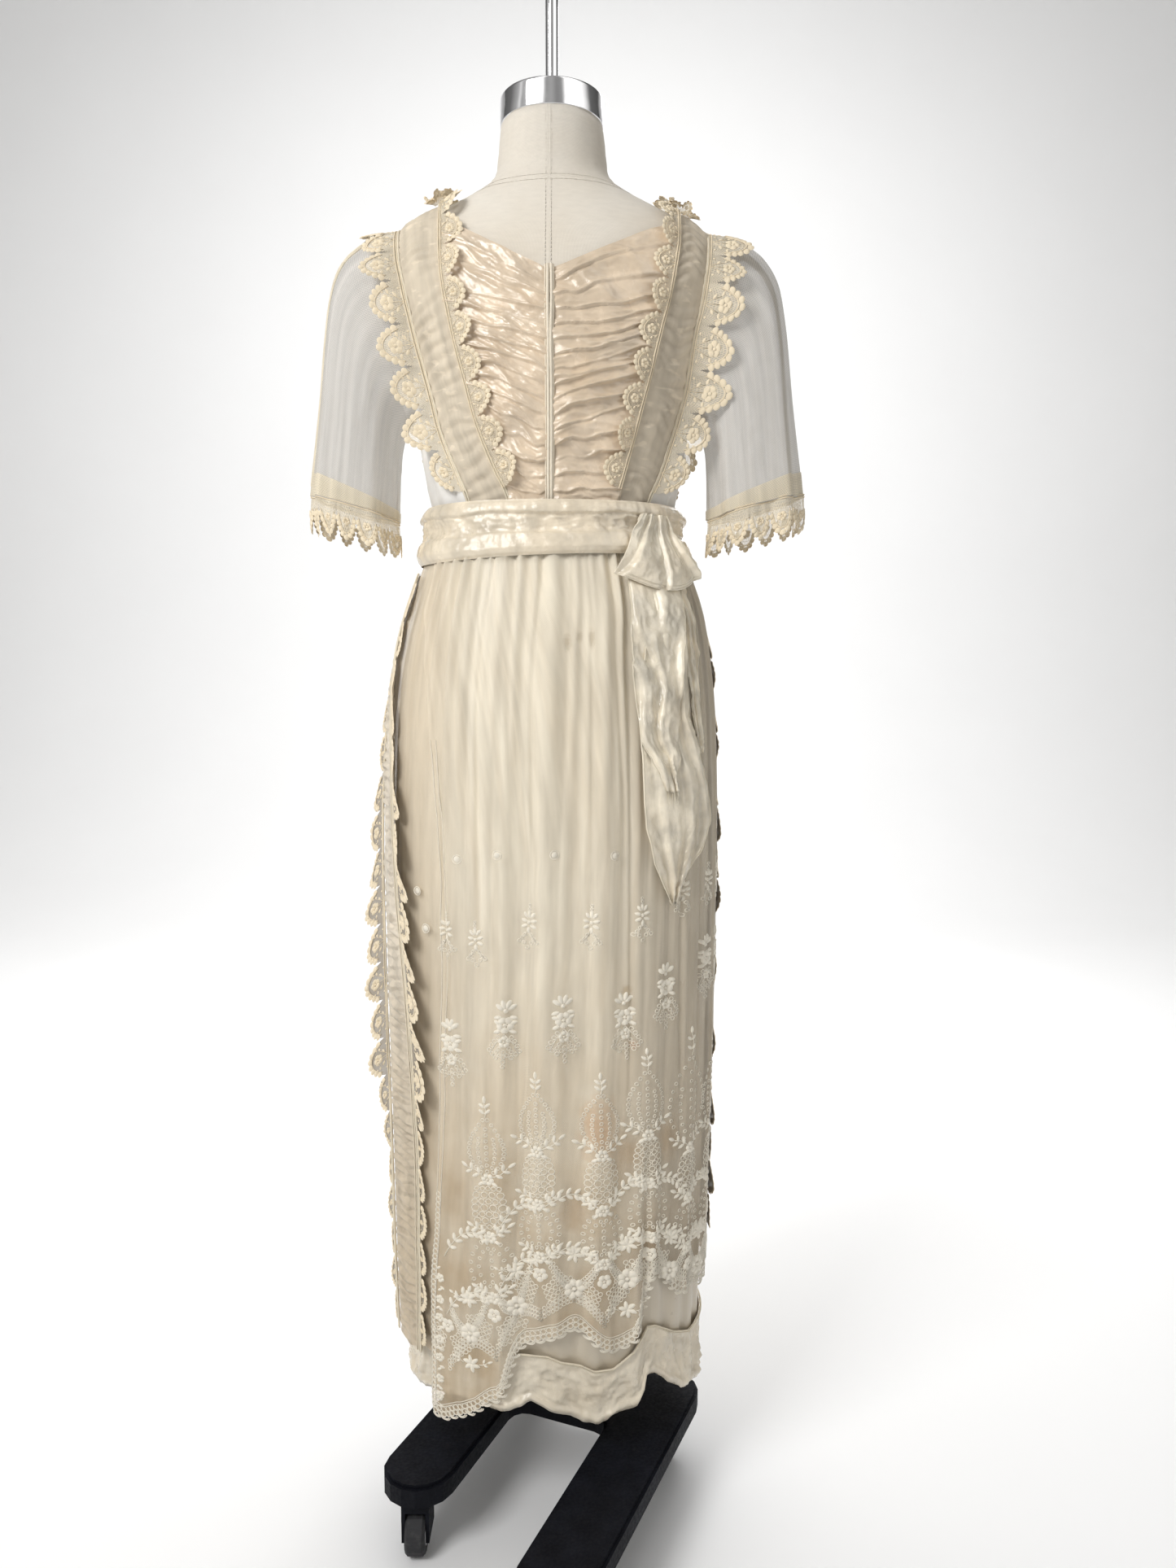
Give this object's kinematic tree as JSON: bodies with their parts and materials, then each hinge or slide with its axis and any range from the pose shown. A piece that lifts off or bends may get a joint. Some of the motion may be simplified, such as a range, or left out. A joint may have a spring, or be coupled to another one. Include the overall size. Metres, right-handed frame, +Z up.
{
  "type": "edwardian wedding dress on a limbless dress form and castered stand",
  "caption": "Back-fastened satin and net dress with lace edges, sash and embroidered overskirt, worn by a limbless linen form on a pole and castered base.",
  "frame": {"origin": "on the floor, in the middle of the bounding box; the pole stands 3.5 mm towards -X and 54.2 mm towards +Y of it", "axes": "+Z up along the pole, +Y towards the front of the dress, +X towards its right sleeve"},
  "size_m": [0.565, 0.5426, 1.755],
  "materials": {
    "linen": "plain woven, matt",
    "chrome": "polished",
    "black_iron": "black paint, satin",
    "rubber": "matt",
    "champagne_satin": "silk satin, soft sheen",
    "ivory_silk": "silk, soft sheen",
    "band_net": "ruched net, matt",
    "skirt_net": "embroidered net over satin",
    "sleeve_net": "fine net, matt",
    "ecru_lace": "cotton lace, matt",
    "skirt_satin": "silk satin, soft sheen"
  },
  "bodies": {
    "stand_and_dress": {"back_closing": "champagne_satin", "back_satin_left": "champagne_satin", "back_satin_right": "champagne_satin", "belt": "champagne_satin", "bodice_front": "champagne_satin", "bodice_side_left": "ivory_silk", "bodice_side_right": "ivory_silk", "cuff_lace_left": "ecru_lace", "cuff_lace_right": "ecru_lace", "form_torso": "linen", "hem_band": "champagne_satin", "neck_cap": "chrome", "neck_lace_left": "ecru_lace", "neck_lace_right": "ecru_lace", "overskirt_back": "skirt_net", "overskirt_front": "skirt_net", "pole": "chrome", "robing_lace_left_back": "ecru_lace", "robing_lace_left_front": "ecru_lace", "robing_lace_right_back": "ecru_lace", "robing_lace_right_front": "ecru_lace", "robing_left": "band_net", "robing_right": "band_net", "sash_bow": "champagne_satin", "sash_end_long": "champagne_satin", "sash_end_short": "champagne_satin", "sash_strip": "champagne_satin", "shoulder_band_left": "band_net", "shoulder_band_right": "band_net", "shoulder_lace_left": "ecru_lace", "shoulder_lace_right": "ecru_lace", "sleeve_left": "sleeve_net", "sleeve_right": "sleeve_net", "stand_base": "black_iron", "underskirt": "skirt_satin"},
    "caster_left_back_swivel": {"caster_left_back_fork": "black_iron"},
    "caster_left_back_roll": {"caster_left_back_wheel": "rubber"},
    "caster_right_back_swivel": {"caster_right_back_fork": "black_iron"},
    "caster_right_back_roll": {"caster_right_back_wheel": "rubber"},
    "caster_left_front_swivel": {"caster_left_front_fork": "black_iron"},
    "caster_left_front_roll": {"caster_left_front_wheel": "rubber"},
    "caster_right_front_swivel": {"caster_right_front_fork": "black_iron"},
    "caster_right_front_roll": {"caster_right_front_wheel": "rubber"}
  },
  "joints": [
    {"name": "caster_left_back_swivel", "type": "hinge", "parent": "stand_and_dress", "child": "caster_left_back_swivel", "pos_m": [-0.15327, -0.07344, 0.0657], "axis": [0, 0, 1], "continuous": true},
    {"name": "caster_left_back_roll", "type": "hinge", "parent": "caster_left_back_swivel", "child": "caster_left_back_roll", "pos_m": [-0.15327, -0.08744, 0.025], "axis": [1, 0, 0], "continuous": true},
    {"name": "caster_right_back_swivel", "type": "hinge", "parent": "stand_and_dress", "child": "caster_right_back_swivel", "pos_m": [0.00197, -0.23493, 0.0657], "axis": [0, 0, 1], "continuous": true},
    {"name": "caster_right_back_roll", "type": "hinge", "parent": "caster_right_back_swivel", "child": "caster_right_back_roll", "pos_m": [0.01512, -0.23014, 0.025], "axis": [-0.342, 0.9397, 0], "continuous": true},
    {"name": "caster_left_front_swivel", "type": "hinge", "parent": "stand_and_dress", "child": "caster_left_front_swivel", "pos_m": [-0.02238, 0.23493, 0.0657], "axis": [0, 0, 1], "continuous": true},
    {"name": "caster_left_front_roll", "type": "hinge", "parent": "caster_left_front_swivel", "child": "caster_left_front_roll", "pos_m": [-0.03553, 0.23972, 0.025], "axis": [-0.342, -0.9397, 0], "continuous": true},
    {"name": "caster_right_front_swivel", "type": "hinge", "parent": "stand_and_dress", "child": "caster_right_front_swivel", "pos_m": [0.13403, 0.0762, 0.0657], "axis": [0, 0, 1], "continuous": true},
    {"name": "caster_right_front_roll", "type": "hinge", "parent": "caster_right_front_swivel", "child": "caster_right_front_roll", "pos_m": [0.12503, 0.06547, 0.025], "axis": [0.766, -0.6428, 0], "continuous": true}
  ]
}
